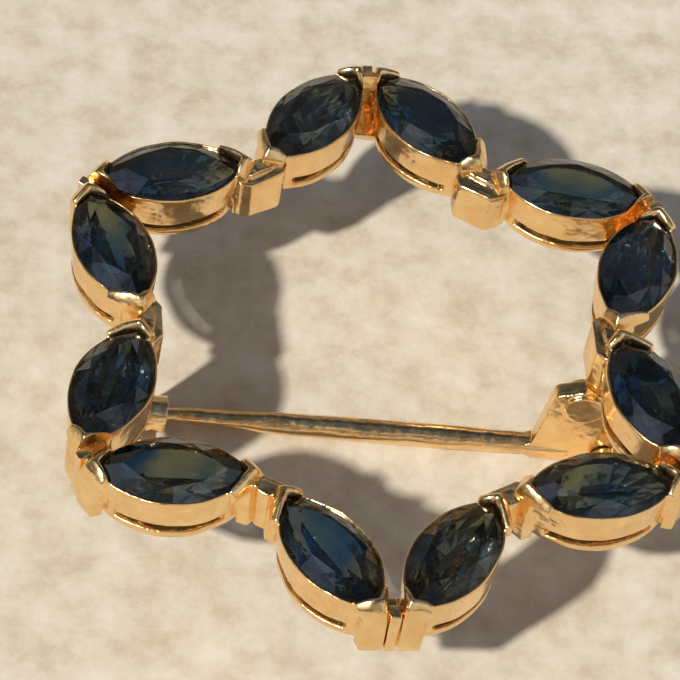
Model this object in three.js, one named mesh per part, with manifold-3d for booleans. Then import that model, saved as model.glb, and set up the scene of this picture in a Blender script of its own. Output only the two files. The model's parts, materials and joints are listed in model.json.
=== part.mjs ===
// Open wreath brooch: twelve marquise stones, each in its own navette collet, soldered end to end
// into a wavy six-pointed ring, with a hinged pin and a turning safety catch on the back.
//
// Frame: millimetres, +Z up. The ring lies flat and faces +Z, and its centre is over the origin.
// Z = 0 is the lowest point of the hinge and the catch. +Y points to the first outward joint.

import * as THREE from 'three';
import { ConvexGeometry } from 'three/addons/geometries/ConvexGeometry.js';
import { mergeVertices } from 'three/addons/utils/BufferGeometryUtils.js';
import Module from 'manifold-3d';

const wasm = await Module();
wasm.setup();

// ---------------------------------------------------------------- driving dimensions
const STONE_LENGTH = 6.0;
const STONE_WIDTH = 3.0;
const STONE_COUNT = 12;
const OUTER_JOINT_RADIUS = 13.6;
const INNER_JOINT_RADIUS = 9.26;
const PIN_DEPTH = 4.95; // from the collets' feet down to the lowest point of the hinge and catch
const PIN_WIRE_RADIUS = 0.5;
const CLEARANCE = 0.03; // gap left between two pieces that touch
const TIP_SPREAD = 1.25; // when a lens grows, its tips move this much further than its sides

// stone heights, measured from the girdle
const CROWN_HEIGHT = 0.48;
const PAVILION_DEPTH = 1.4;
const GIRDLE_HALF = 0.03;
const TABLE_SCALE = 0.6;
const KEEL_SCALE = 0.42; // length of the keel, against the stone's
const KEEL_RISE = 0.28; // its ends stand this much above its middle

// each setting's own small error: turned by degrees, and moved along y
const SETTING_TURN = [0, 0, 0, 0, -3, 4, -4.5, 9, 0, 0, 0, 0];
const SETTING_RISE = [0, 0, 0, 0.35, 0, 0, 0, 0, 0, 0, 0, 0];

// collet
const GIRDLE_Z = 2.3; // girdle above the collet's foot
const RIM_RISE = 0.06; // rim above the girdle
const RIM_WALL = 0.1; // metal outside the girdle, measured at the widest point
const FOOT_SCALE = 0.9; // the wall draws in towards its foot
const WELL_MARGIN = 0.42; // how far the well stands inside the girdle
const CLAW_WALL = 0.38; // metal outside the girdle at the claws
const CLAW_OVERLAP = 0.2; // how far a claw reaches in over the stone
const CLAW_LEAN = 0.91; // a claw's outline at its top, against that at the girdle
const CLAW_PLATE = 0.6; // length of a claw below the girdle, back from the stone's tip
const CLAW_ARM = 1.0; // and above the girdle
const CLAW_TOP = 2.86;
const SLOT_LENGTH = 4.2;
const SLOT_LOW = 0.35;
const SLOT_HIGH = 0.76;

// joints between collets, in each joint's own frame: x outwards, y along the ring
const POST_HALF = 0.33;
const POST_TOP = 2.45;
const OUTWARD_POST = [-0.5, 0.1];
const INWARD_POST = [-0.35, 0.6];
const SLICE_HALF = 0.08; // half of the gap on the centre plane that two neighbours leave
const SILL_REACH = 2.2;
const SILL_HALF = 0.6;
const SILL_TOP = 0.35;
const BLOCK_HALF = 0.95;
const BLOCK_FACE_HALF = 0.75;
const BLOCK_DEPTH = [0, 0.95, 0, 0.8, 0, 0.7, 0, 0.7, 0, 0.7, 0, 0.75]; // inward joints only
const BLOCK_TOP = 2.1;

// pin and hinge, in the pin's frame: x from the pivot to the catch, y along the pivot, z up
const PIVOT = new THREE.Vector3(9.95, -0.93, -4.2);
const CATCH_END = new THREE.Vector3(-9.25, 0.12, -4.2);
const EYE_RADIUS = 0.72;
const PLATE_HALF = 0.37;
const HEEL_CENTRE = [1.4, 3.13];
const HEEL_RADIUS = 0.95;
const SHOULDER_CENTRE = [2.3, 3.45]; // the plate's corner above the wire
const SHOULDER_RADIUS = 0.36;
const HEEL_STEP = 1.15; // height at which the heel's back edge turns in to the eye
const BOSS_RADIUS = 0.82;
const BOSS_HALF = 0.55;
const PLATE_LENGTH = 3.1;
const PIN_LENGTH = 19.3;
const EAR_RADIUS = 0.75;
const EAR_INNER = 0.42;
const EAR_OUTER = 0.85;
const EAR_BACK = -1.05;
const EAR_FRONT = -0.05;
const BRACKET_PAD = 0.42; // thickness of the bracket's foot
const RIVET_RADIUS = 0.3;
const RIVET_HEAD_RADIUS = 0.45;
const RIVET_HEAD = 0.14;

// catch, in the pin's frame
const CATCH_START = 17.95;
const CATCH_LENGTH = 2.5;
const CATCH_RADIUS = 0.75;
const CATCH_BORE = 0.56;
const SLEEVE_RADIUS = 0.53;
const SLEEVE_BORE = 0.38;
const CATCH_MOUTH = THREE.MathUtils.degToRad(46); // half angle of the housing's mouth
const SLEEVE_MOUTH = THREE.MathUtils.degToRad(58);
const TAB_WIDTH = 0.5;
const TAB_REACH = 1.45;
const TAB_THICKNESS = 0.26;
const WINDOW_WIDTH = 0.8;
const CATCH_POST_RADIUS = 0.48;
const CATCH_FOOT_RADIUS = 0.72;

const ARC_STEPS = 6;
const ROUND_STEPS = 12;
const SLOT_STEPS = 2;
const FAR = 20; // longer than anything that it cuts
const PIN_TOP = -CLEARANCE - PIVOT.z; // top of the hinge and catch feet, in the pin's frame

// ---------------------------------------------------------------- materials
const gold = () => new THREE.MeshStandardMaterial({ color: 0xdfae68, roughness: 0.22, metalness: 1 });
const sapphire = () => new THREE.MeshStandardMaterial({ color: 0x0e1f3a, roughness: 0.05, metalness: 0 });

// ---------------------------------------------------------------- solids
// A closed geometry, moved by a matrix, as a solid that can be joined and cut.
function solid(geometry, matrix = new THREE.Matrix4()) {
  const bare = geometry.clone().applyMatrix4(matrix);
  bare.deleteAttribute('normal');
  bare.deleteAttribute('uv');
  const merged = mergeVertices(bare, 1e-5);
  return new wasm.Manifold(new wasm.Mesh({
    numProp: 3,
    vertProperties: new Float32Array(merged.attributes.position.array),
    triVerts: new Uint32Array(merged.index.array),
  }));
}

// A solid made in the ring's frame becomes a mesh that sits in its own frame.
function part(name, material, body, frame = new THREE.Matrix4()) {
  const made = body.getMesh();
  const geometry = new THREE.BufferGeometry();
  geometry.setAttribute('position', new THREE.BufferAttribute(new Float32Array(made.vertProperties), 3));
  geometry.setIndex(Array.from(made.triVerts));
  geometry.applyMatrix4(frame.clone().invert());
  geometry.computeVertexNormals();
  const mesh = new THREE.Mesh(geometry, material);
  mesh.name = name;
  mesh.applyMatrix4(frame);
  return mesh;
}

function joined(solids) {
  return solids.reduce((all, next) => all.add(next));
}

function box([x0, x1], [y0, y1], [z0, z1], frame) {
  const geometry = new THREE.BoxGeometry(x1 - x0, y1 - y0, z1 - z0);
  geometry.translate((x0 + x1) / 2, (y0 + y1) / 2, (z0 + z1) / 2);
  return solid(geometry, frame);
}

function prism(shape, [z0, z1], steps = ARC_STEPS) {
  const geometry = new THREE.ExtrudeGeometry(shape, {
    depth: z1 - z0,
    bevelEnabled: false,
    curveSegments: steps,
  });
  return geometry.translate(0, 0, z0);
}

// A shape drawn in x and z, extruded along y between two values.
function sidePrism(shape, [y0, y1], steps = ARC_STEPS) {
  return prism(shape, [-y1, -y0], steps).rotateX(Math.PI / 2);
}

// A lens: two equal arcs that meet in a point at each end.
function lens(length, width) {
  const a = length / 2;
  const b = width / 2;
  const radius = (a * a + b * b) / (2 * b);
  const half = Math.asin(a / radius);
  const shape = new THREE.Shape();
  shape.absarc(0, b - radius, radius, Math.PI / 2 - half, Math.PI / 2 + half);
  shape.absarc(0, radius - b, radius, -Math.PI / 2 - half, -Math.PI / 2 + half);
  return shape;
}

// The stone's outline moved outwards by a margin.
function stoneLens(margin) {
  return lens(STONE_LENGTH + 2 * margin * TIP_SPREAD, STONE_WIDTH + 2 * margin);
}

// Scales a prism in plan, by one amount at its bottom and another at its top.
function tapered(geometry, [z0, z1], [scale0, scale1]) {
  const position = geometry.attributes.position;
  for (let i = 0; i < position.count; i += 1) {
    const scale = THREE.MathUtils.mapLinear(position.getZ(i), z0, z1, scale0, scale1);
    position.setX(i, position.getX(i) * scale);
    position.setY(i, position.getY(i) * scale);
  }
  return geometry;
}

// ---------------------------------------------------------------- the ring's layout
function isOutward(index) {
  return index % 2 === 0;
}

function jointPoint(index) {
  const angle = Math.PI / 2 - (index * 2 * Math.PI) / STONE_COUNT;
  const radius = isOutward(index) ? OUTER_JOINT_RADIUS : INNER_JOINT_RADIUS;
  return new THREE.Vector3(radius * Math.cos(angle), radius * Math.sin(angle), 0);
}

// A joint's frame: origin at the joint, x straight out from the ring's centre.
function jointFrame(index) {
  const point = jointPoint(index);
  const turn = new THREE.Matrix4().makeRotationZ(Math.atan2(point.y, point.x));
  return new THREE.Matrix4().makeTranslation(point.x, point.y, 0).multiply(turn);
}

// A setting's frame: origin at its middle, x from one joint to the next.
function settingFrame(index) {
  const start = jointPoint(index);
  const end = jointPoint(index + 1);
  const middle = start.clone().add(end).multiplyScalar(0.5);
  const along = Math.atan2(end.y - start.y, end.x - start.x);
  const turn = new THREE.Matrix4().makeRotationZ(along + THREE.MathUtils.degToRad(SETTING_TURN[index]));
  return new THREE.Matrix4().makeTranslation(middle.x, middle.y + SETTING_RISE[index], 0).multiply(turn);
}

function pinFrame() {
  const along = CATCH_END.clone().sub(PIVOT);
  const turn = new THREE.Matrix4().makeRotationZ(Math.atan2(along.y, along.x));
  return new THREE.Matrix4().makeTranslation(PIVOT.x, PIVOT.y, PIVOT.z).multiply(turn);
}

// ---------------------------------------------------------------- stones
function lensPoints(scale, z, steps) {
  const outline = lens(STONE_LENGTH * scale, STONE_WIDTH * scale).getPoints(steps);
  return outline.map((p) => new THREE.Vector3(p.x, p.y, z));
}

// A marquise cut: table, crown, thin girdle and a pavilion that ends in a short keel.
function stoneGeometry(margin = 0) {
  const grown = 1 + (2 * margin) / STONE_WIDTH;
  const points = [
    ...lensPoints(TABLE_SCALE * grown, GIRDLE_Z + CROWN_HEIGHT + margin, ARC_STEPS / 2),
    ...lensPoints(grown, GIRDLE_Z + GIRDLE_HALF + margin, ARC_STEPS),
    ...lensPoints(grown, GIRDLE_Z - GIRDLE_HALF - margin, ARC_STEPS),
    new THREE.Vector3(0, 0, GIRDLE_Z - PAVILION_DEPTH - margin),
  ];
  for (const side of [-1, 1]) {
    const x = (side * KEEL_SCALE * STONE_LENGTH * grown) / 2;
    points.push(new THREE.Vector3(x, 0, GIRDLE_Z - PAVILION_DEPTH + KEEL_RISE - margin));
  }
  return new ConvexGeometry(points);
}

// ---------------------------------------------------------------- collets
// The two ends of a setting, as far in as a length back from the stone's tips.
function ends(length) {
  const start = STONE_LENGTH / 2 - length;
  return joined([-1, 1].map((side) => {
    const span = side < 0 ? [-FAR, -start] : [start, FAR];
    return box(span, [-FAR, FAR], [-FAR, FAR]);
  }));
}

function wallBody(margin) {
  const heights = [0, GIRDLE_Z + RIM_RISE];
  return solid(tapered(prism(stoneLens(RIM_WALL + margin), heights), heights, [FOOT_SCALE, 1]));
}

// Claws: flat plates below the girdle, and arms above it that lean in over the stone.
function clawBody(margin) {
  const outline = stoneLens(CLAW_WALL + margin);
  const upper = [GIRDLE_Z, CLAW_TOP];
  const plates = solid(prism(outline, [0, GIRDLE_Z])).intersect(ends(CLAW_PLATE));
  const arms = solid(tapered(prism(outline, upper), upper, [1, CLAW_LEAN])).intersect(ends(CLAW_ARM));
  return plates.add(arms);
}

// One long narrow window through both sides, just above the foot, with round ends.
function gallerySlot() {
  const radius = (SLOT_HIGH - SLOT_LOW) / 2;
  const middle = (SLOT_HIGH + SLOT_LOW) / 2;
  const reach = SLOT_LENGTH / 2 - radius;
  const shape = new THREE.Shape();
  shape.absarc(reach, middle, radius, -Math.PI / 2, Math.PI / 2);
  shape.absarc(-reach, middle, radius, Math.PI / 2, (3 * Math.PI) / 2);
  return solid(sidePrism(shape, [-FAR, FAR], SLOT_STEPS));
}

function colletAtOrigin() {
  const seat = solid(prism(stoneLens(CLEARANCE), [GIRDLE_Z, FAR]));
  const opening = solid(prism(stoneLens(-CLAW_OVERLAP), [GIRDLE_Z, FAR]));
  const well = solid(prism(stoneLens(-WELL_MARGIN), [-FAR, FAR]));
  const stone = solid(stoneGeometry(CLEARANCE));
  const body = wallBody(0).subtract(seat).add(clawBody(0).subtract(opening));
  return body.subtract(well).subtract(stone).subtract(gallerySlot());
}

// The space that a collet fills, with a clearance all round, used to cut its neighbours.
function colletEnvelope() {
  return wallBody(CLEARANCE).add(clawBody(CLEARANCE));
}

// ---------------------------------------------------------------- joints between collets
function postSpan(index) {
  return isOutward(index) ? OUTWARD_POST : INWARD_POST;
}

// What both neighbours leave free for a joint: a thin slice on its centre plane, and its post.
function jointSpace(index) {
  const frame = jointFrame(index);
  const [back, front] = postSpan(index);
  const slice = SLICE_HALF + CLEARANCE;
  const half = POST_HALF + CLEARANCE;
  const reach = isOutward(index) ? FAR : front + CLEARANCE;
  return joined([
    box([-FAR, FAR], [-slice, slice], [-FAR, FAR], frame),
    box([back - CLEARANCE, reach], [-half, half], [-FAR, FAR], frame),
  ]);
}

// Everything on the far side of a joint's centre plane from a setting.
function beyondJoint(index, side) {
  const span = side > 0 ? [0, FAR] : [-FAR, 0];
  return box([-FAR, FAR], span, [-FAR, FAR], jointFrame(index));
}

// Cuts a body in a setting's place back to the stretch between its two joints.
function betweenJoints(body, index) {
  return body
    .subtract(beyondJoint(index, 1))
    .subtract(beyondJoint(index + 1, -1))
    .subtract(jointSpace(index))
    .subtract(jointSpace(index + 1));
}

function without(body, neighbours) {
  return neighbours.reduce((left, next) => left.subtract(next), body);
}

// A sill that closes the floor between the two feet, on a thin spine that runs out to the post.
function outwardFill(frame, neighbours) {
  const spine = box([-SILL_REACH, OUTWARD_POST[1]], [-SLICE_HALF, SLICE_HALF], [0, SILL_TOP], frame);
  const sill = box([-SILL_REACH, OUTWARD_POST[0]], [-SILL_HALF, SILL_HALF], [0, SILL_TOP], frame);
  return spine.add(without(sill, neighbours));
}

// A block with a flat face and cut corners, on the side of the ring's opening.
function inwardFill(frame, neighbours, depth) {
  const shape = new THREE.Shape();
  shape.moveTo(0, BLOCK_HALF);
  shape.lineTo(-depth / 2, BLOCK_HALF);
  shape.lineTo(-depth, BLOCK_FACE_HALF);
  shape.lineTo(-depth, -BLOCK_FACE_HALF);
  shape.lineTo(-depth / 2, -BLOCK_HALF);
  shape.lineTo(0, -BLOCK_HALF);
  return without(solid(prism(shape, [0, BLOCK_TOP]), frame), neighbours);
}

function jointPiece(index, neighbours) {
  const frame = jointFrame(index);
  const fill = isOutward(index)
    ? outwardFill(frame, neighbours)
    : inwardFill(frame, neighbours, BLOCK_DEPTH[index]);
  return fill.add(box(postSpan(index), [-POST_HALF, POST_HALF], [0, POST_TOP], frame));
}

// ---------------------------------------------------------------- hinge and pin
function rod(radius, [y0, y1], x = 0, z = 0) {
  const geometry = new THREE.CylinderGeometry(radius, radius, y1 - y0, ROUND_STEPS);
  return solid(geometry.translate(x, (y0 + y1) / 2, z));
}

function earShape() {
  const shape = new THREE.Shape();
  shape.moveTo(EAR_BACK, PIN_TOP);
  shape.lineTo(EAR_BACK, 0);
  shape.lineTo(-EAR_RADIUS, -EAR_RADIUS / 2);
  shape.absarc(0, 0, EAR_RADIUS, (-3 * Math.PI) / 4, Math.PI / 2);
  shape.lineTo(EAR_FRONT, EAR_RADIUS);
  shape.lineTo(EAR_FRONT, PIN_TOP);
  return shape;
}

function hingeBracket() {
  const ears = [-1, 1].map((side) => {
    const span = side < 0 ? [-EAR_OUTER, -EAR_INNER] : [EAR_INNER, EAR_OUTER];
    return solid(sidePrism(earShape(), span));
  });
  const pad = box([EAR_BACK, EAR_FRONT], [-EAR_OUTER, EAR_OUTER], [PIN_TOP - BRACKET_PAD, PIN_TOP]);
  const hole = rod(RIVET_RADIUS + CLEARANCE, [-FAR, FAR]);
  return joined([...ears, pad]).subtract(hole);
}

function hingeRivet() {
  const shank = rod(RIVET_RADIUS, [-EAR_OUTER - RIVET_HEAD, EAR_OUTER + RIVET_HEAD]);
  const heads = [-1, 1].map((side) => {
    const inner = EAR_OUTER + CLEARANCE;
    const outer = EAR_OUTER + RIVET_HEAD;
    return rod(RIVET_HEAD_RADIUS, side < 0 ? [-outer, -inner] : [inner, outer]);
  });
  return joined([shank, ...heads]);
}

// The root is a flat plate: an eye on the rivet, and a round heel up against the ring's back.
function pinPlateShape() {
  const [heelX, heelZ] = HEEL_CENTRE;
  const shape = new THREE.Shape();
  shape.absarc(0, 0, EYE_RADIUS, Math.PI / 2, (3 * Math.PI) / 2);
  shape.lineTo(PLATE_LENGTH, -PIN_WIRE_RADIUS);
  shape.lineTo(PLATE_LENGTH + PIN_WIRE_RADIUS, 0);
  shape.lineTo(PLATE_LENGTH, PIN_WIRE_RADIUS);
  shape.absarc(...SHOULDER_CENTRE, SHOULDER_RADIUS, 0, Math.PI / 2);
  shape.absarc(heelX, heelZ, HEEL_RADIUS, Math.PI / 2, Math.PI);
  shape.lineTo(heelX - HEEL_RADIUS, HEEL_STEP);
  return shape;
}

// The wire, as a radius at each distance from the pivot.
function pinWire() {
  const profile = [
    [0, 1.6],
    [0.4, 1.6],
    [0.46, 3.2],
    [PIN_WIRE_RADIUS, 7.3],
    [0.46, 12.7],
    [0.36, 16.6],
    [0.27, 17.9],
    [0.08, PIN_LENGTH],
    [0, PIN_LENGTH],
  ];
  const wire = new THREE.LatheGeometry(profile.map(([r, x]) => new THREE.Vector2(r, x)), ROUND_STEPS);
  return solid(wire.rotateZ(-Math.PI / 2));
}

function pinStem() {
  const plate = solid(sidePrism(pinPlateShape(), [-PLATE_HALF, PLATE_HALF]));
  const boss = rod(BOSS_RADIUS, [-BOSS_HALF, BOSS_HALF], HEEL_CENTRE[0], HEEL_CENTRE[1]);
  const hole = rod(RIVET_RADIUS + CLEARANCE, [-FAR, FAR]);
  return joined([plate, boss, pinWire()]).subtract(hole);
}

// ---------------------------------------------------------------- catch
// A tube with a mouth that opens downwards, drawn in y and z and extruded along x.
function openTube(outer, inner, mouth, [x0, x1]) {
  const start = -Math.PI / 2 + mouth;
  const end = (3 * Math.PI) / 2 - mouth;
  const shape = new THREE.Shape();
  shape.absarc(0, 0, outer, start, end, false);
  shape.absarc(0, 0, inner, end, start, true);
  const geometry = prism(shape, [x0, x1], ROUND_STEPS);
  geometry.applyMatrix4(new THREE.Matrix4().makeBasis(
    new THREE.Vector3(0, 1, 0),
    new THREE.Vector3(0, 0, 1),
    new THREE.Vector3(1, 0, 0),
  ));
  return solid(geometry);
}

const CATCH_MIDDLE = CATCH_START + CATCH_LENGTH / 2;

function catchHousing() {
  const tube = openTube(CATCH_RADIUS, CATCH_BORE, CATCH_MOUTH, [CATCH_START, CATCH_START + CATCH_LENGTH]);
  const height = PIN_TOP - CATCH_BORE;
  const post = new THREE.CylinderGeometry(CATCH_FOOT_RADIUS, CATCH_POST_RADIUS, height, ROUND_STEPS);
  post.rotateX(Math.PI / 2).translate(CATCH_MIDDLE, 0, CATCH_BORE + height / 2);
  const bore = new THREE.CylinderGeometry(CATCH_BORE, CATCH_BORE, CATCH_LENGTH, ROUND_STEPS);
  bore.rotateZ(Math.PI / 2).translate(CATCH_MIDDLE, 0, 0);
  const half = WINDOW_WIDTH / 2;
  const window = box([CATCH_MIDDLE - half, CATCH_MIDDLE + half], [0, FAR], [-FAR, TAB_THICKNESS]);
  return tube.add(solid(post).subtract(solid(bore))).subtract(window);
}

// The sleeve turns inside the housing. Its tab stands out through the housing's window.
function catchSleeve() {
  const start = CATCH_START + CLEARANCE;
  const tube = openTube(SLEEVE_RADIUS, SLEEVE_BORE, SLEEVE_MOUTH, [start, start + CATCH_LENGTH]);
  const across = [CATCH_MIDDLE - TAB_WIDTH / 2, CATCH_MIDDLE + TAB_WIDTH / 2];
  const thick = [-TAB_THICKNESS / 2, TAB_THICKNESS / 2];
  return tube.add(box(across, [(SLEEVE_BORE + SLEEVE_RADIUS) / 2, TAB_REACH], thick));
}

// ---------------------------------------------------------------- assembly
const brooch = new THREE.Group();
const ring = new THREE.Group();
const back = new THREE.Group();
ring.position.z = PIN_DEPTH;
back.position.z = PIN_DEPTH;
brooch.add(ring, back);

const collet = colletAtOrigin();
const envelope = colletEnvelope();
const stone = solid(stoneGeometry());
const numbered = (name, index) => `${name}_${String(index + 1).padStart(2, '0')}`;

// A body moved by a frame. The library's own order of numbers is by columns, as three.js has it.
const moved = (body, frame) => body.transform(frame.toArray());

for (let i = 0; i < STONE_COUNT; i += 1) {
  const frame = settingFrame(i);
  const before = settingFrame((i + STONE_COUNT - 1) % STONE_COUNT);
  const neighbours = [before, frame].map((place) => moved(envelope, place));
  ring.add(part(numbered('collet', i), gold(), betweenJoints(moved(collet, frame), i), frame));
  ring.add(part(numbered('sapphire', i), sapphire(), moved(stone, frame), frame));
  ring.add(part(numbered('joint', i), gold(), jointPiece(i, neighbours), jointFrame(i)));
}

const backPieces = [
  ['hinge_bracket', hingeBracket()],
  ['hinge_rivet', hingeRivet()],
  ['pin_stem', pinStem()],
  ['catch_housing', catchHousing()],
  ['catch_sleeve', catchSleeve()],
];
const pinPlace = pinFrame();
for (const [name, body] of backPieces) {
  back.add(part(name, gold(), moved(body, pinPlace), pinPlace));
}

export default brooch;
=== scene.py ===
import json
import math

import bmesh
import bpy
from mathutils import Matrix, Vector, noise


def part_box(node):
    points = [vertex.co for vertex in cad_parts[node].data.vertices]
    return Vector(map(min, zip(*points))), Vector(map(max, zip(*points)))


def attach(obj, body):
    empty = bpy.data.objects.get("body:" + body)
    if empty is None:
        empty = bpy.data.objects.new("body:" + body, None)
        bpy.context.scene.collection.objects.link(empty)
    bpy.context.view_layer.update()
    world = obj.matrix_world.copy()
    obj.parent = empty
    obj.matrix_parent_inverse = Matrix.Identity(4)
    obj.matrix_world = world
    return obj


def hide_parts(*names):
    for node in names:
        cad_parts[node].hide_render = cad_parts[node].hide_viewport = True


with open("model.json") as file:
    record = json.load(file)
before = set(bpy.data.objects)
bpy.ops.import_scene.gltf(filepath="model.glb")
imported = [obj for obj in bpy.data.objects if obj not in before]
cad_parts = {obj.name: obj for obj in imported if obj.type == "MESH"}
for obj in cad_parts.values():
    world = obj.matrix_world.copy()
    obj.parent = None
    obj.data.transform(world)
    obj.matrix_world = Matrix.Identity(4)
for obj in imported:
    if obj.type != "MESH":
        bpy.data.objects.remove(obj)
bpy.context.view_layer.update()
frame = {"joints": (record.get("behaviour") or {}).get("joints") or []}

# ---------------------------------------------------------------- sizes, in millimetres
MM = 0.001
NOISE_SEED = 1
COUNT = 12
OUTER_JOINT_RADIUS = 13.6
INNER_JOINT_RADIUS = 9.26
SETTING_TURN = [0, 0, 0, 0, -3, 4, -4.5, 9, 0, 0, 0, 0]  # degrees
STONE_LENGTH = 6.0
STONE_WIDTH = 3.0
TIP_SPREAD = 1.25  # a lens's tip moves this much further than its side
GIRDLE = 2.3  # height above the collets' feet
RIM = GIRDLE + 0.06
FOOT_SCALE = 0.9
RIM_WALL = 0.1
WELL = -0.42
CLAW_WALL = 0.38
CLAW_OVERLAP = -0.2
CLAW_TOP = 2.84
OUTWARD_ARMS = (0.2, 0.11)  # how far the arms on the ring's outer and inner side reach, from 0 to 1
INWARD_ARMS = (0.14, 0.15)
ARM_DROOP = 0.34
ARM_THINNING = 0.45
PLATE_REACH = 0.11
PLATE_THINNING = 0.25
SLOT_LOW = 0.36
SLOT_HIGH = 0.74
SLOT_HALF = 2.1
CROWN = 0.46
TABLE_SCALE = 0.64
STAR_SCALE = 0.82
STAR_LIFT = 0.55  # of the crown's height
PAVILION = 1.4
PAVILION_CUTS = [(0.86, 0.36, 0.95), (0.64, 0.68, 0.8), (0.44, 0.9, 0.5)]  # scale, depth, flatness
KEEL_SCALE = 0.36
GIRDLE_HALF = 0.03
STONE_TILT = 3  # degrees, at most
POST_HALF = 0.23
POST_GROOVE = 0.06  # between a post and the claws beside it
POST_TOP = 2.3
WEB_TOP = 2.2
SILL_TOP = 0.33
BLOCK_DEPTH = {2: 0.93, 4: 0.78, 6: 0.68, 8: 0.68, 10: 0.68, 12: 0.73}
BLOCK_TOP = 2.05
BLOCK_FOOT = 0.02
INWARD_WEB_TOP = 2.25
PIN_LENGTH = 19.3
# the wire's distance from the hinge and its radius there
WIRE_PROFILE = [(1.6, 0.40), (3.2, 0.46), (7.3, 0.5), (10.0, 0.49), (12.7, 0.46), (16.6, 0.36), (17.9, 0.27),
                (18.9, 0.14), (PIN_LENGTH, 0.03)]
EYE_RADIUS = 0.72
PLATE_HALF = 0.35
HEEL = (1.4, 3.13)
HEEL_RADIUS = 0.95
SHOULDER = (2.3, 3.42)
SHOULDER_RADIUS = 0.36
BOSS_RADIUS = 0.82
BOSS_HALF = 0.54
EAR_RADIUS = 0.74
EAR_INNER = 0.43
EAR_OUTER = 0.84
EAR_BACK = -1.05
EAR_FRONT = -0.05
PAD_DEPTH = 0.4
RIVET_RADIUS = 0.3
HEAD_RADIUS = 0.44
HEAD_DEPTH = 0.13
HEAD_GAP = 0.02
CATCH_START = 17.96
CATCH_LENGTH = 2.48
BARREL = (0.75, 0.57)  # outer and inner radius
BARREL_MOUTH = 46  # degrees to each side
ROLLER = (0.53, 0.39)
ROLLER_MOUTH = 58
ROLLER_SHIFT = 0.03
TAB_HALF = 0.24
CATCH_POST_PROFILE = [(0.5, 0.55), (0.46, 1.2), (0.5, 2.4), (0.6, 3.5)]  # radius, height
CATCH_POST_FOOT = 0.7
FOOT_GAP = 0.02  # what the hinge and catch stop short of the collets' feet
ROUND_STEPS = 32
WEAR = {"collet": 0.05, "joint": 0.1, "pin": 0.03}  # how far the hand-made surface strays

FOOT_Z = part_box("collet_01")[0].z / MM
names = [f"{i + 1:02d}" for i in range(COUNT)]
noise.seed_set(NOISE_SEED)  # left alone, noise_vector follows the clock


# ---------------------------------------------------------------- mesh helpers
def link(name, mesh):
    made = bpy.data.objects.new(name, mesh)
    bpy.context.collection.objects.link(made)
    return made


def from_faces(name, points, faces):
    mesh = bpy.data.meshes.new(name)
    mesh.from_pydata([tuple(p) for p in points], [], faces)
    made = link(name, mesh)
    work = bmesh.new()
    work.from_mesh(mesh)
    bmesh.ops.recalc_face_normals(work, faces=work.faces)
    work.to_mesh(mesh)
    work.free()
    return made


def bake(piece):
    """Applies the modifiers that the piece has."""
    graph = bpy.context.evaluated_depsgraph_get()
    mesh = bpy.data.meshes.new_from_object(piece.evaluated_get(graph))
    piece.modifiers.clear()
    piece.data = mesh


def joined(pieces):
    """One object that holds all the pieces' faces."""
    work = bmesh.new()
    for piece in pieces:
        work.from_mesh(piece.data)
    work.to_mesh(pieces[0].data)
    work.free()
    for piece in pieces[1:]:
        bpy.data.objects.remove(piece)
    return pieces[0]


def fuse(piece, voxel, smooth, keep):
    """Melts overlapping bodies into one skin with soft edges, then thins its faces."""
    melt = piece.modifiers.new("melt", "REMESH")
    melt.mode = "VOXEL"
    melt.voxel_size = voxel
    soften = piece.modifiers.new("soften", "SMOOTH")
    soften.factor = 0.5
    soften.iterations = smooth
    thin = piece.modifiers.new("thin", "DECIMATE")
    thin.ratio = keep
    bake(piece)


def shade(piece):
    piece.data.polygons.foreach_set("use_smooth", [True] * len(piece.data.polygons))


def prism(name, outline, low, high):
    count = len(outline)
    points = [(x, y, z) for z in (low, high) for x, y in outline]
    sides = [(i, (i + 1) % count, count + (i + 1) % count, count + i) for i in range(count)]
    caps = [tuple(range(count))[::-1], tuple(range(count, 2 * count))]
    return from_faces(name, points, sides + caps)


def side_prism(name, outline, low, high):
    """An outline in x and z, between two values of y."""
    made = prism(name, outline, -high, -low)
    made.data.transform(Matrix.Rotation(math.pi / 2, 4, "X"))
    return made


def block(name, x, y, z):
    return prism(name, [(x[0], y[0]), (x[1], y[0]), (x[1], y[1]), (x[0], y[1])], *z)


def arc(centre, radius, start, end, steps):
    angles = [math.radians(start + (end - start) * i / steps) for i in range(steps + 1)]
    return [(centre[0] + radius * math.cos(a), centre[1] + radius * math.sin(a)) for a in angles]


def circle(radius):
    angles = [2 * math.pi * i / ROUND_STEPS for i in range(ROUND_STEPS)]
    return [(radius * math.cos(a), radius * math.sin(a)) for a in angles]


def skin(name, rings):
    """A closed skin over rings of points, which all have the same count."""
    count = len(rings[0])
    points = [point for ring in rings for point in ring]
    faces = []
    for i in range(len(rings) - 1):
        here, there = i * count, (i + 1) * count
        for j in range(count):
            k = (j + 1) % count
            faces.append((here + j, here + k, there + k, there + j))
    faces.append(tuple(range(count)))
    faces.append(tuple(range(len(points) - count, len(points))))
    return from_faces(name, points, faces)


# ---------------------------------------------------------------- the lens and its lofts
def lens_point(u, side, margin):
    """A point on the stone's outline, moved out by a margin. u runs from 0 at one tip to 1 at the other."""
    a = STONE_LENGTH / 2 + TIP_SPREAD * margin
    b = STONE_WIDTH / 2 + margin
    radius = (a * a + b * b) / (2 * b)
    half = math.asin(a / radius)
    angle = math.pi / 2 - half + 2 * half * u
    return radius * math.cos(angle), side * (radius * math.sin(angle) - radius + b)


def all_round(steps):
    there = [(i / steps, 1, 0) for i in range(steps)]
    back = [(1 - i / steps, -1, 0) for i in range(steps)]
    return there + back


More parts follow.
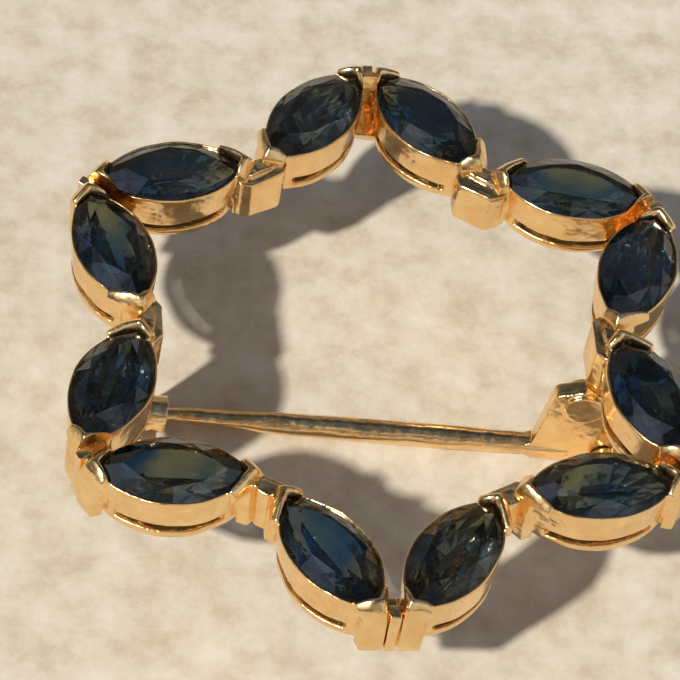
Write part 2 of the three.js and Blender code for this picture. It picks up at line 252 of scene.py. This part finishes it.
def round_tip(outer_reach, inner_reach, steps, far_tip):
    """Stations from the outer side of a tip, over it, to the inner side, each as (u, side, progress)."""
    spans = [(outer_reach * (steps - i) / steps, 1, (steps - i) / steps) for i in range(steps)]
    spans += [(inner_reach * i / steps, -1, i / steps) for i in range(steps + 1)]
    return [(1 - u, side, progress) for u, side, progress in spans] if far_tip else spans


def loft(name, stations, profile, closed, droop=0.0, thinning=0.0):
    """profile is a closed line of (margin, height, scale), carried along the stations.
    Away from the tip, droop lowers what stands above the girdle, and thinning draws the margins together."""
    widest = max(margin for margin, height, scale in profile)
    points = []
    for u, side, progress in stations:
        for margin, height, scale in profile:
            thin = thinning * progress ** 2
            x, y = lens_point(u, side, margin + (widest - margin) * thin)
            sink = droop * progress ** 2 * max(0, height - GIRDLE) / (CLAW_TOP - GIRDLE)
            points.append((x * scale, y * scale, height - sink))
    width = len(profile)
    laps = len(stations) if closed else len(stations) - 1
    faces = []
    for i in range(laps):
        here, there = i * width, (i + 1) % len(stations) * width
        for j in range(width):
            k = (j + 1) % width
            faces.append((here + j, here + k, there + k, there + j))
    if not closed:
        faces.append(tuple(range(width)))
        faces.append(tuple(range(len(points) - width, len(points))))
    return from_faces(name, points, faces)


def taper(height):
    """The wall's scale in plan at a height."""
    return FOOT_SCALE + (1 - FOOT_SCALE) * height / RIM


# ---------------------------------------------------------------- collet
def collet_mesh(outward_start):
    """A navette setting: rail, slotted wall with a seat, and a bent V claw over each tip.
    The claw at an outward joint has a long outer arm and a short inner one."""
    wall = [
        (RIM_WALL, SLOT_HIGH, taper(SLOT_HIGH)),
        (RIM_WALL, GIRDLE, taper(GIRDLE)),
        (RIM_WALL - 0.04, RIM, 1),
        (0.0, RIM, 1),
        (-0.03, GIRDLE - 0.05, 1),
        (WELL, GIRDLE - 0.4, 1),
        (WELL, SLOT_HIGH, 1),
    ]
    rail = [
        (RIM_WALL, 0.0, FOOT_SCALE),
        (RIM_WALL + 0.02, 0.2, taper(0.2)),
        (RIM_WALL, SLOT_LOW, taper(SLOT_LOW)),
        (WELL, SLOT_LOW, 1),
        (WELL, 0.0, 1),
    ]
    ends = [
        (RIM_WALL, SLOT_LOW - 0.1, taper(SLOT_LOW)),
        (RIM_WALL, SLOT_HIGH + 0.1, taper(SLOT_HIGH)),
        (WELL, SLOT_HIGH + 0.1, 1),
        (WELL, SLOT_LOW - 0.1, 1),
    ]
    plate = [
        (CLAW_WALL + 0.06, 0.0, 1),
        (CLAW_WALL + 0.1, 0.3, 1),
        (CLAW_WALL + 0.06, GIRDLE - 0.3, 1),
        (CLAW_WALL - 0.04, GIRDLE, 1),
        (-0.1, GIRDLE - 0.05, 1),
        (-0.1, 0.0, 1),
    ]
    arm = [
        (CLAW_WALL - 0.08, GIRDLE - 0.4, 1),
        (CLAW_WALL, GIRDLE, 1),
        (CLAW_WALL - 0.06, GIRDLE + 0.26, 0.98),
        (0.16, CLAW_TOP - 0.08, 0.98),
        (0.02, CLAW_TOP, 0.99),
        (-0.12, CLAW_TOP - 0.1, 1),
        (CLAW_OVERLAP, CLAW_TOP - 0.3, 1),
        (CLAW_OVERLAP + 0.03, GIRDLE + 0.1, 1),
        (0.02, GIRDLE - 0.05, 1),
        (0.02, GIRDLE - 0.4, 1),
    ]
    slot_reach = 0.5 - SLOT_HALF / STONE_LENGTH
    steps = 10
    parts = [
        loft("collet", all_round(48), wall, True),
        loft("rail", all_round(48), rail, True),
    ]
    for far_tip in (False, True):
        reaches = OUTWARD_ARMS if outward_start != far_tip else INWARD_ARMS
        end_line = round_tip(slot_reach, slot_reach, steps, far_tip)
        plate_line = round_tip(PLATE_REACH, PLATE_REACH, steps, far_tip)
        arm_line = round_tip(*reaches, steps, far_tip)
        parts.append(loft("end", end_line, ends, False))
        parts.append(loft("plate", plate_line, plate, False, 0, PLATE_THINNING))
        parts.append(loft("arm", arm_line, arm, False, ARM_DROOP, ARM_THINNING))
    made = joined(parts)
    fuse(made, voxel=0.045, smooth=10, keep=0.28)
    mesh = made.data
    bpy.data.objects.remove(made)
    return mesh


# ---------------------------------------------------------------- stone
def stone_mesh():
    """A marquise: brilliant crown with table, stars and kites over a step-cut pavilion with a keel.
    The crown's faces have material 0, and the pavilion's have material 1."""
    mains = 8
    fine = 3  # outline points to each facet edge
    loop = [(u, side) for u, side, progress in all_round(mains)]
    points = []

    def add(u, side, scale, height, flatten=1):
        x, y = lens_point(u, side, 0)
        points.append((x * scale, y * scale * flatten, height))
        return len(points) - 1

    table = [add(*loop[i], TABLE_SCALE, GIRDLE + CROWN) for i in range(0, 2 * mains, 2)]
    stars = [add(*loop[i], STAR_SCALE, GIRDLE + CROWN * STAR_LIFT) for i in range(1, 2 * mains, 2)]
    outline = [(u, side) for u, side, progress in all_round(mains * fine)]
    top = [add(u, side, 1, GIRDLE + GIRDLE_HALF) for u, side in outline]
    bottom = [add(u, side, 1, GIRDLE - GIRDLE_HALF) for u, side in outline]
    rows = []
    for scale, low, flat in PAVILION_CUTS:
        rows.append([add(u, side, scale, GIRDLE - PAVILION * low, flat) for u, side in loop])
    keel = [add(i / mains, 1, KEEL_SCALE, GIRDLE - PAVILION, 0) for i in range(mains + 1)]

    faces = [tuple(table)]
    step = 2 * fine
    count = len(outline)
    for j in range(mains):
        after = (j + 1) % mains
        corner = j * step
        faces.append((table[j], stars[j], table[after]))
        faces.append((table[j], stars[j - 1], top[corner], stars[j]))
        for i in range(corner, corner + step):
            following = (i + 1) % count
            faces.append((stars[j], top[i], top[following]))
            faces.append((top[i], bottom[i], bottom[following], top[following]))
    crown_faces = len(faces)
    around = len(loop)
    for i in range(around):
        after = (i + 1) % around
        edge = [bottom[(i * fine + n) % count] for n in range(fine + 1)]
        faces.append((*edge, rows[0][after], rows[0][i]))
        for upper, lower in zip(rows, rows[1:]):
            faces.append((upper[i], upper[after], lower[after], lower[i]))
        near, far = min(i, around - i), min(after, around - after)
        faces.append((rows[-1][i], rows[-1][after], keel[far], keel[near]))
    made = from_faces("stone", points, faces)
    mesh = made.data
    for face in list(mesh.polygons)[crown_faces:]:
        face.material_index = 1
    bpy.data.objects.remove(made)
    return mesh


def paint_facet_tone_and_light(mesh, turn, seed):
    """Gives each facet its own random value from 0 to 1, the same each run, plus painted reflection
    that lightens the sides that look towards +Y, and painted shade that makes the row next to the girdle the
    darkest."""
    tone_and_painted_light = mesh.attributes.new("facet_tone_and_painted_light", "FLOAT", "FACE")
    for face in mesh.polygons:
        # painted reflection: facets that look towards +Y are made lighter
        painted_north_light = (turn @ face.normal).y
        spot = face.normal * 2.6 + face.center * 0.9 + Vector((seed * 5.3, seed * 2.1, 0))
        # painted shade: the pavilion row next to the girdle is made darker, a painted dark rim
        edge = max(0, 1 - (GIRDLE - face.center.z) / 0.3) if face.material_index else 0
        tone_and_painted_light.data[face.index].value = 0.5 + 0.45 * noise.noise(spot) + 0.3 * painted_north_light - 0.45 * edge


# ---------------------------------------------------------------- the ring's layout
def joint_frame(k):
    """k counts from 0 at the top. x points out from the ring's centre."""
    angle = math.pi / 2 - k * 2 * math.pi / COUNT
    radius = OUTER_JOINT_RADIUS if k % 2 == 0 else INNER_JOINT_RADIUS
    middle = Vector((radius * math.cos(angle), radius * math.sin(angle), FOOT_Z))
    return Matrix.Translation(middle) @ Matrix.Rotation(angle, 4, "Z")


def setting_frame(k):
    """The middle of a collet's foot, with x along the stone."""
    low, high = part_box("sapphire_" + names[k])
    middle = (low + high) / 2 / MM
    along = joint_frame(k + 1).translation - joint_frame(k).translation
    angle = math.atan2(along.y, along.x) + math.radians(SETTING_TURN[k])
    return Matrix.Translation((middle.x, middle.y, FOOT_Z)) @ Matrix.Rotation(angle, 4, "Z")


def pin_frame():
    """x runs from the hinge to the pin's point, y along the rivet and z to the front."""
    hinge = next(j for j in frame["joints"] if j["name"] == "pin_hinge")
    across = Vector(hinge["axis"]).normalized()
    along = across.cross(Vector((0, 0, 1)))
    turn = Matrix((along, across, (0, 0, 1))).transposed()
    return Matrix.Translation(Vector(hinge["pos_m"]) / MM) @ turn.to_4x4()


def place(piece, where, node, body, material):
    """Puts a piece made in millimetres where its CAD node is."""
    piece.data.transform(Matrix.Scale(MM, 4) @ where)
    piece.data.materials.clear()
    for each in (material if isinstance(material, tuple) else (material,)):
        piece.data.materials.append(each)
    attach(piece, body)
    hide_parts(node)


def hand_made(mesh, amount, scale, seed):
    """Moves each vertex by a smooth noise, so that no two pieces are quite alike."""
    for vertex in mesh.vertices:
        spot = vertex.co * scale + Vector((seed * 7.3, seed * 3.1, seed * 5.7))
        vertex.co += noise.noise_vector(spot) * amount


def keep_apart(mesh, where, k, side):
    """Presses flat what comes too near a joint's centre plane, or the post that stands on it."""
    to_joint = joint_frame(k).inverted() @ where
    back = to_joint.inverted()
    gap = POST_HALF + POST_GROOVE if k % 2 == 0 else 0.03
    for vertex in mesh.vertices:
        spot = to_joint @ vertex.co
        if spot.y * side < gap and abs(spot.x) < 3:
            spot.y = gap * side
            vertex.co = back @ spot


# ---------------------------------------------------------------- materials
def principled(name):
    made = bpy.data.materials.new(name)
    made.use_nodes = True
    return made, made.node_tree, made.node_tree.nodes["Principled BSDF"]


def noise_node(tree, scale, detail, roughness=0.5):
    where = tree.nodes.new("ShaderNodeTexCoord")
    made = tree.nodes.new("ShaderNodeTexNoise")
    made.inputs["Scale"].default_value = scale
    made.inputs["Detail"].default_value = detail
    made.inputs["Roughness"].default_value = roughness
    tree.links.new(where.outputs["Object"], made.inputs["Vector"])
    return made


def ramp(tree, source, stops):
    made = tree.nodes.new("ShaderNodeValToRGB")
    while len(made.color_ramp.elements) < len(stops):
        made.color_ramp.elements.new(0.5)
    for element, (position, colour) in zip(made.color_ramp.elements, stops):
        element.position = position
        element.color = (*colour, 1)
    tree.links.new(source, made.inputs["Fac"])
    return made


def multiply(tree, one, other):
    made = tree.nodes.new("ShaderNodeVectorMath")
    made.operation = "MULTIPLY"
    tree.links.new(one, made.inputs[0])
    tree.links.new(other, made.inputs[1])
    return made.outputs["Vector"]


def gold_material():
    """Yellow gold with faint colour changes, dents, scratches and worn patches."""
    made, tree, shader = principled("polished_gold")
    shader.inputs["Metallic"].default_value = 1
    tint = noise_node(tree, 900, 3)
    colour = ramp(tree, tint.outputs["Fac"], [(0.3, (0.88, 0.57, 0.25)), (0.7, (0.97, 0.71, 0.37))])
    tree.links.new(colour.outputs["Color"], shader.inputs["Base Color"])
    wear = noise_node(tree, 2500, 5, 0.65)
    rough = ramp(tree, wear.outputs["Fac"], [(0.35, (0.11,) * 3), (0.75, (0.34,) * 3)])
    tree.links.new(rough.outputs["Color"], shader.inputs["Roughness"])
    dents = noise_node(tree, 1100, 2)
    scratches = noise_node(tree, 9000, 4, 0.7)
    low_bump = tree.nodes.new("ShaderNodeBump")
    low_bump.inputs["Strength"].default_value = 0.6
    low_bump.inputs["Distance"].default_value = 0.00014
    fine_bump = tree.nodes.new("ShaderNodeBump")
    fine_bump.inputs["Strength"].default_value = 0.35
    fine_bump.inputs["Distance"].default_value = 0.00001
    tree.links.new(dents.outputs["Fac"], low_bump.inputs["Height"])
    tree.links.new(scratches.outputs["Fac"], fine_bump.inputs["Height"])
    tree.links.new(low_bump.outputs["Normal"], fine_bump.inputs["Normal"])
    tree.links.new(fine_bump.outputs["Normal"], shader.inputs["Normal"])
    return made


def crown_material():
    """Clear, tinted sapphire with faint colour zones."""
    made, tree, shader = principled("sapphire_crown")
    shader.inputs["IOR"].default_value = 1.77
    shader.inputs["Roughness"].default_value = 0.015
    shader.inputs["Specular IOR Level"].default_value = 0.22
    shader.inputs["Transmission Weight"].default_value = 1
    zones = noise_node(tree, 260, 2)
    colour = ramp(tree, zones.outputs["Fac"], [(0.42, (0.012, 0.050, 0.115)), (0.60, (0.15, 0.165, 0.10))])
    tree.links.new(colour.outputs["Color"], shader.inputs["Base Color"])
    wear = noise_node(tree, 1800, 4, 0.6)
    bump = tree.nodes.new("ShaderNodeBump")
    bump.inputs["Strength"].default_value = 0.4
    bump.inputs["Distance"].default_value = 0.00003
    tree.links.new(wear.outputs["Fac"], bump.inputs["Height"])
    tree.links.new(bump.outputs["Normal"], shader.inputs["Normal"])
    return made


def pavilion_material():
    """The facets that show through the crown, each with its own random colour, and with painted reflections
    and glints.
    """
    made, tree, shader = principled("sapphire_pavilion")
    shader.inputs["Roughness"].default_value = 0.08
    shader.inputs["Specular IOR Level"].default_value = 0.1
    tone_and_painted_light = tree.nodes.new("ShaderNodeAttribute")
    tone_and_painted_light.attribute_name = "facet_tone_and_painted_light"
    silk = noise_node(tree, 1500, 3, 0.6)
    mixed = tree.nodes.new("ShaderNodeMath")
    mixed.operation = "MULTIPLY_ADD"
    mixed.inputs[1].default_value = 0.22
    tree.links.new(silk.outputs["Fac"], mixed.inputs[0])
    tree.links.new(tone_and_painted_light.outputs["Fac"], mixed.inputs[2])
    # black and navy are the stone's own colour; the bright blue stop is a painted glint, and the olive and
    # pale stops are painted reflections
    stops = [
        (0.42, (0.001, 0.002, 0.004)),
        (0.52, (0.004, 0.030, 0.160)),
        (0.60, (0.020, 0.220, 0.950)),
        (0.63, (0.015, 0.020, 0.018)),
        (0.78, (0.480, 0.460, 0.280)),
        (0.88, (0.950, 0.980, 0.900)),
    ]
    colour = ramp(tree, mixed.outputs["Value"], stops)
    tree.links.new(colour.outputs["Color"], shader.inputs["Base Color"])
    return made


def floor_material():
    """Pale, mottled stone."""
    made, tree, shader = principled("pale_floor")
    shader.inputs["Roughness"].default_value = 0.75
    mottle = noise_node(tree, 520, 9, 0.68)
    stops = [(0.34, (0.51, 0.44, 0.34)), (0.5, (0.62, 0.56, 0.46)), (0.64, (0.68, 0.64, 0.56))]
    colour = ramp(tree, mottle.outputs["Fac"], stops)
    tree.links.new(colour.outputs["Color"], shader.inputs["Base Color"])
    return made


# ---------------------------------------------------------------- wreath pieces
def make_settings(gold, blue):
    collets = [collet_mesh(True), collet_mesh(False)]
    stone = stone_mesh()
    for k in range(COUNT):
        where = setting_frame(k)
        made = link("setting_" + names[k], collets[k % 2].copy())
        hand_made(made.data, WEAR["collet"], scale=0.9, seed=k)
        keep_apart(made.data, where, k, -1)
        keep_apart(made.data, where, k + 1, 1)
        shade(made)
        place(made, where, "collet_" + names[k], "wreath", gold)
        gem = link("gem_" + names[k], stone.copy())
        tilt = Matrix.Rotation(math.radians(STONE_TILT * math.sin(k * 2.4)), 4, "X")
        middle = Matrix.Translation((0, 0, GIRDLE))
        gem.data.transform(middle @ tilt @ middle.inverted())
        paint_facet_tone_and_light(gem.data, where.to_3x3(), k)
        place(gem, where, "sapphire_" + names[k], "wreath", blue)


def outward_joint(k):
    """A post between the claws, a web behind it, and a floor between the collets' feet."""
    post = block("link_" + names[k], (-0.5, 0.13), (-POST_HALF, POST_HALF), (0, POST_TOP))
    web = block("web", (-0.5, -0.14), (-0.42, 0.42), (BLOCK_FOOT, WEB_TOP))
    sill = block("sill", (-2.1, -0.3), (-0.5, 0.5), (BLOCK_FOOT, SILL_TOP))
    return joined([post, web, sill])


def inward_joint(k):
    """A faceted block towards the ring's middle, with a post and a web behind it."""
    depth = BLOCK_DEPTH[k + 1]
    half = [(0.1, 1.1), (-depth / 2, 1.12), (-depth, 0.72)]
    outline = half + [(x, -y) for x, y in reversed(half)]
    made = prism("link_" + names[k], outline, BLOCK_FOOT, BLOCK_TOP)
    post = block("post", (-0.35, 0.34), (-0.3, 0.3), (BLOCK_FOOT, POST_TOP))
    web = block("web", (-0.3, 0.2), (-0.6, 0.6), (BLOCK_FOOT, INWARD_WEB_TOP))
    return joined([made, post, web])


def make_joints(gold):
    for k in range(COUNT):
        outward = k % 2 == 0
        made = outward_joint(k) if outward else inward_joint(k)
        fuse(made, voxel=0.05, smooth=8 if outward else 22, keep=0.3)
        hand_made(made.data, WEAR["joint"], scale=1.1, seed=k + 20)
        shade(made)
        place(made, joint_frame(k), "joint_" + names[k], "wreath", gold)


# ---------------------------------------------------------------- pin, hinge and catch
def rod(name, radius, low, high, x=0.0, z=0.0):
    """A round bar along y."""
    outline = arc((x, z), radius, 0, 360, 40)[:-1]
    return side_prism(name, outline, low, high)


def bevelled(piece, width):
    edge = piece.modifiers.new("edge", "BEVEL")
    edge.width = width
    edge.segments = 3
    edge.limit_method = "ANGLE"
    edge.angle_limit = math.radians(35)
    bake(piece)
    shade(piece)


def wire_piece():
    """The round wire, thickest a third of the way along, and drawn to a point."""
    stations = []
    steps = 8
    for (x0, r0), (x1, r1) in zip(WIRE_PROFILE, WIRE_PROFILE[1:]):
        for i in range(steps):
            t = i / steps
            stations.append((x0 + (x1 - x0) * t, r0 + (r1 - r0) * (3 * t * t - 2 * t ** 3)))
    stations.append(WIRE_PROFILE[-1])
    rings = []
    for x, radius in stations:
        rings.append([(x, y, z) for y, z in circle(radius)])
    return skin("wire", rings)


def pin_root():
    """The flat root: an eye on the rivet, a round heel, and a boss on each face of the heel."""
    outline = arc((0, 0), EYE_RADIUS, 90, 270, 16)
    outline += [(3.1, -0.5), (3.6, -0.2), (3.6, 0.2), (3.1, 0.5)]
    outline += arc(SHOULDER, SHOULDER_RADIUS, 0, 75, 8)
    outline += arc(HEEL, HEEL_RADIUS, 80, 180, 16)
    outline += [(HEEL[0] - HEEL_RADIUS, 1.15)]
    plate = side_prism("plate", outline, -PLATE_HALF, PLATE_HALF)
    boss = rod("boss", BOSS_RADIUS, -BOSS_HALF, BOSS_HALF, *HEEL)
    made = joined([plate, boss])
    fuse(made, voxel=0.05, smooth=4, keep=0.4)
    return made


def make_pin(gold, where):
    root = pin_root()
    made = joined([wire_piece(), root])
    made.name = "pin_wire"
    hand_made(made.data, WEAR["pin"], scale=0.7, seed=40)
    shade(made)
    place(made, where, "pin_stem", "pin", gold)


def ear_outline(top):
    outline = [(EAR_BACK, top), (EAR_BACK, 0), (-EAR_RADIUS, -EAR_RADIUS / 2)]
    outline += arc((0, 0), EAR_RADIUS, -135, 90, 24)
    outline += [(EAR_FRONT, EAR_RADIUS), (EAR_FRONT, top)]
    return outline


def make_hinge(gold, where):
    top = FOOT_Z - where.translation.z - FOOT_GAP
    spans = ((-EAR_OUTER, -EAR_INNER), (EAR_INNER, EAR_OUTER))
    ears = [side_prism("ear", ear_outline(top), *span) for span in spans]
    pad = block("pad", (EAR_BACK, EAR_FRONT), (-EAR_OUTER, EAR_OUTER), (top - PAD_DEPTH, top))
    made = joined([*ears, pad])
    made.name = "hinge_ears"
    fuse(made, voxel=0.05, smooth=4, keep=0.4)
    shade(made)
    place(made, where, "hinge_bracket", "wreath", gold)
    near, far = EAR_OUTER + HEAD_GAP, EAR_OUTER + HEAD_DEPTH
    shank = rod("rivet", RIVET_RADIUS, -EAR_OUTER, EAR_OUTER)
    heads = [rod("head", HEAD_RADIUS, *span) for span in ((-far, -near), (near, far))]
    rivet = joined([shank, *heads])
    bevelled(rivet, 0.06)
    place(rivet, where, "hinge_rivet", "wreath", gold)


def open_tube(name, outer, inner, mouth, low, high):
    """A tube along x whose mouth, of that half angle, opens down."""
    outline = arc((0, 0), outer, -90 + mouth, 270 - mouth, 40)
    outline += arc((0, 0), inner, 270 - mouth, -90 + mouth, 40)
    made = prism(name, outline, low, high)
    turn = Matrix(((0, 0, 1), (1, 0, 0), (0, 1, 0)))
    made.data.transform(turn.to_4x4())
    return made


def catch_post(middle, top):
    """A round post that widens into its foot on the ring."""
    rings = []
    for radius, height in CATCH_POST_PROFILE + [(CATCH_POST_FOOT, top)]:
        rings.append([(middle + x, y, height) for x, y in circle(radius)])
    return skin("post", rings)


def make_catch(gold, where):
    end = CATCH_START + CATCH_LENGTH
    middle = (CATCH_START + end) / 2
    tube = open_tube("catch_barrel", *BARREL, BARREL_MOUTH, CATCH_START, end)
    bevelled(tube, 0.05)
    window = block("window", (middle - 0.4, middle + 0.4), (0, 2), (-2, 0.26))
    cut = tube.modifiers.new("cut", "BOOLEAN")
    cut.object = window
    bake(tube)
    bpy.data.objects.remove(window)
    post = catch_post(middle, FOOT_Z - where.translation.z - FOOT_GAP)
    made = joined([tube, post])
    shade(made)
    place(made, where, "catch_housing", "wreath", gold)
    span = (CATCH_START + ROLLER_SHIFT, end + ROLLER_SHIFT)
    sleeve = open_tube("catch_roller", *ROLLER, ROLLER_MOUTH, *span)
    tab = block("tab", (middle - TAB_HALF, middle + TAB_HALF), (0.45, 1.44), (-0.12, 0.12))
    turner = joined([sleeve, tab])
    bevelled(turner, 0.04)
    place(turner, where, "catch_sleeve", "catch_turn", gold)


# ---------------------------------------------------------------- stage
def make_camera():
    data = bpy.data.cameras.new("camera")
    camera = link("camera", data)
    bpy.context.scene.camera = camera
    data.sensor_width = 36
    data.lens = 182.4
    data.clip_start = 0.001
    distance = 134.59
    azimuth, elevation, roll = map(math.radians, (-9.62, 51.75, 9.77))
    target = Vector((-1.655, -0.843, FOOT_Z + GIRDLE)) * MM
    back = Vector((
        math.sin(azimuth) * math.cos(elevation),
        -math.cos(azimuth) * math.cos(elevation),
        math.sin(elevation),
    ))
    turn = (-back).to_track_quat("-Z", "Y").to_matrix() @ Matrix.Rotation(roll, 3, "Z")
    camera.matrix_world = Matrix.Translation(target + back * distance * MM) @ turn.to_4x4()


def make_world():
    """A sky with soft bright and dim patches, brighter behind the camera than ahead of it."""
    world = bpy.data.worlds.new("studio")
    bpy.context.scene.world = world
    world.use_nodes = True
    tree = world.node_tree
    where = tree.nodes.new("ShaderNodeTexCoord")
    split = tree.nodes.new("ShaderNodeSeparateXYZ")
    tree.links.new(where.outputs["Generated"], split.inputs["Vector"])
    heights = [(0.0, (0.30, 0.25, 0.20)), (0.4, (0.27, 0.27, 0.27)), (1.0, (0.19, 0.24, 0.34))]
    sky = ramp(tree, split.outputs["Z"], heights)
    patches = tree.nodes.new("ShaderNodeTexNoise")
    patches.inputs["Scale"].default_value = 1.6
    patches.inputs["Detail"].default_value = 1
    tree.links.new(where.outputs["Generated"], patches.inputs["Vector"])
    light = ramp(tree, patches.outputs["Fac"], [(0.38, (0.3,) * 3), (0.62, (2.2,) * 3)])
    ahead = ramp(tree, split.outputs["Y"], [(0.05, (1.25,) * 3), (0.5, (0.4,) * 3)])
    patchy_sky = multiply(tree, sky.outputs["Color"], light.outputs["Color"])
    background = tree.nodes["Background"]
    tree.links.new(multiply(tree, patchy_sky, ahead.outputs["Color"]), background.inputs["Color"])
    background.inputs["Strength"].default_value = 0.9


def make_sun():
    data = bpy.data.lights.new("sun", "SUN")
    data.energy = 4.3
    data.angle = math.radians(3)
    data.color = (1, 0.93, 0.82)
    sun = link("sun", data)
    shining = Vector((0.793, 0.67, -1))
    sun.rotation_euler = shining.to_track_quat("-Z", "Y").to_euler()


def make_floor():
    half = 1.0  # metres
    corners = [(-half, -half, 0), (half, -half, 0), (half, half, 0), (-half, half, 0)]
    floor = from_faces("floor", corners, [(0, 1, 2, 3)])
    floor.data.materials.append(floor_material())


bpy.context.scene.view_settings.view_transform = "Standard"
make_camera()
make_world()
make_sun()
make_floor()
gold_finish = gold_material()
blue_finish = (crown_material(), pavilion_material())
make_settings(gold_finish, blue_finish)
make_joints(gold_finish)
pin_place = pin_frame()
make_pin(gold_finish, pin_place)
make_hinge(gold_finish, pin_place)
make_catch(gold_finish, pin_place)
